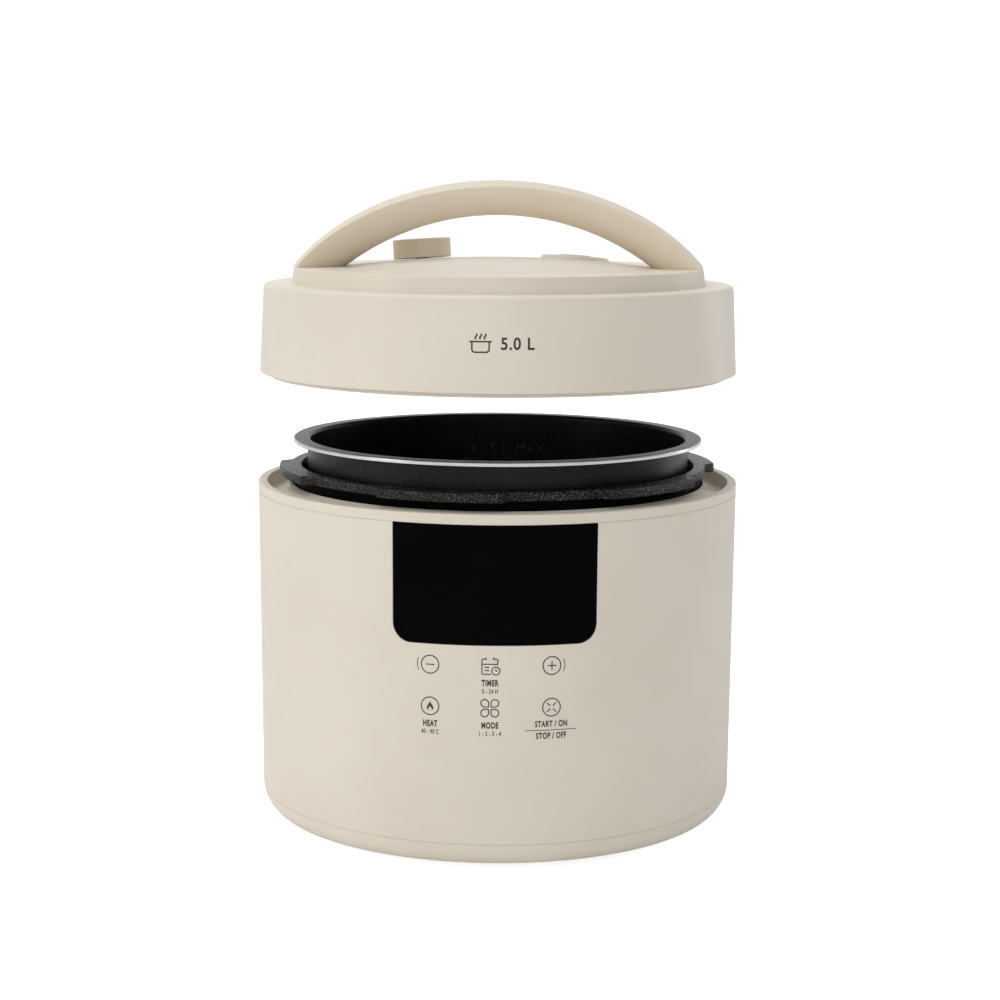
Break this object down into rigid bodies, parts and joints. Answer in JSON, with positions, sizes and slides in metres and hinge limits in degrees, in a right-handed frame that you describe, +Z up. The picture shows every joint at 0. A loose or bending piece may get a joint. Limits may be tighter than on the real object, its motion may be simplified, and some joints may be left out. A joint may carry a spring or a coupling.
{
  "type": "electric pressure cooker",
  "caption": "Round electric pressure cooker with a tapered body, black touch display, lift-out pot, bayonet lid with arched handle, steam valve knob and release button",
  "frame": {"origin": "on the cooker's vertical axis, in the plane that the feet stand on", "axes": "+Z up along the cooker's axis; -Y is the front with the control panel; +X is the user's right"},
  "size_m": [0.285, 0.309, 0.3767],
  "materials": {
    "cream_shell": "moulded polypropylene, warm cream, fine matt spark texture",
    "dark_lens": "smoked acrylic, polished",
    "cast_black": "die-cast aluminium with rough black coating",
    "drum_steel": "drawn sheet steel, smooth black enamel",
    "pot_coating": "aluminium pot with black non-stick coating and a bare turned edge",
    "steel": "brushed stainless sheet",
    "aluminium": "cast aluminium, machined top",
    "rubber_dark": "moulded rubber",
    "silicone": "translucent silicone rubber",
    "circuit": "glass-fibre circuit board with parts",
    "black_plastic": "black heat-resistant moulding",
    "cup_plastic": "translucent moulded polycarbonate",
    "brass": "nickel-plated brass",
    "wire": "silicone wire insulation",
    "zinc": "zinc-plated steel"
  },
  "bodies": {
    "base": {"base_tray": "cream_shell", "rubber_feet": "rubber_dark", "drum_posts": "black_plastic", "base_screws": "zinc", "drum_screws": "zinc", "outer_shell": "cream_shell", "display_lens": "dark_lens", "display_module": "black_plastic", "control_board": "circuit", "touch_springs": "zinc", "lid_sensor": "black_plastic", "top_ring": "cream_shell", "drain_spout": "silicone", "outer_drum": "drum_steel", "bayonet_flange": "cast_black", "heat_shield": "steel", "heat_plate": "aluminium", "heating_element": "steel", "plate_diaphragm": "steel", "plate_seat": "steel", "pressure_switch": "black_plastic", "thermal_fuse": "zinc", "sensor_bracket": "steel", "sensor_spring": "zinc", "power_inlet": "black_plastic", "inlet_pins": "brass", "power_board": "circuit", "element_leads": "wire", "mains_wires": "wire", "signal_cable": "wire"},
    "inner_pot": {"inner_pot": "pot_coating"},
    "inner_cover": {"inner_cover": "steel", "sealing_ring": "silicone", "cover_grommet": "silicone"},
    "lid": {"lid_skirt": "cream_shell", "lid_lining": "cream_shell", "lid_cap": "cream_shell", "lid_screws": "zinc", "handle_screws": "zinc", "lid_magnet": "zinc", "handle": "cream_shell", "lid_plate": "steel", "float_guide": "steel", "lid_stud": "steel", "vent_pipe": "steel", "vent_filter": "steel", "button_bezel": "cream_shell", "button_spring": "zinc"},
    "steam_valve": {"steam_valve_knob": "cream_shell", "valve_needle": "brass"},
    "release_button": {"release_button": "cream_shell"},
    "float_valve": {"float_valve": "steel", "float_seal": "silicone"},
    "temperature_sensor": {"sensor_cap": "aluminium", "thermistor": "brass"},
    "condensate_cup": {"condensate_cup": "cup_plastic"}
  },
  "joints": [
    {"name": "pot_lift", "type": "slide", "parent": "base", "child": "inner_pot", "axis": [0, 0, 1], "range_m": [0, 0.19]},
    {"name": "lid_lift", "type": "slide", "parent": "inner_pot", "child": "inner_cover", "axis": [0, 0, 1], "range_m": [-0.0638, 0.08]},
    {"name": "lid_turn", "type": "hinge", "parent": "inner_cover", "child": "lid", "pos_m": [0, 0, 0.3], "axis": [0, 0, 1], "range_deg": [-30, 0]},
    {"name": "steam_valve_turn", "type": "hinge", "parent": "lid", "child": "steam_valve", "pos_m": [-0.0465, 0.03807, 0.32908], "axis": [-0.0622, 0.0509, 0.9968], "range_deg": [0, 45]},
    {"name": "button_press", "type": "slide", "parent": "lid", "child": "release_button", "axis": [0.0622, 0.0617, 0.9962], "range_m": [-0.002, 0], "stiffness_N_per_m": 400, "springref_m": 0.003, "deforming": ["button_spring"]},
    {"name": "float_rise", "type": "slide", "parent": "lid", "child": "float_valve", "axis": [0, 0, 1], "range_m": [0, 0.004]},
    {"name": "sensor_press", "type": "slide", "parent": "base", "child": "temperature_sensor", "axis": [0, 0, 1], "range_m": [-0.002, 0], "stiffness_N_per_m": 300, "springref_m": 0.004, "deforming": ["sensor_spring"]},
    {"name": "cup_pull", "type": "slide", "parent": "base", "child": "condensate_cup", "axis": [0, 1, 0], "range_m": [0, 0.04]}
  ]
}
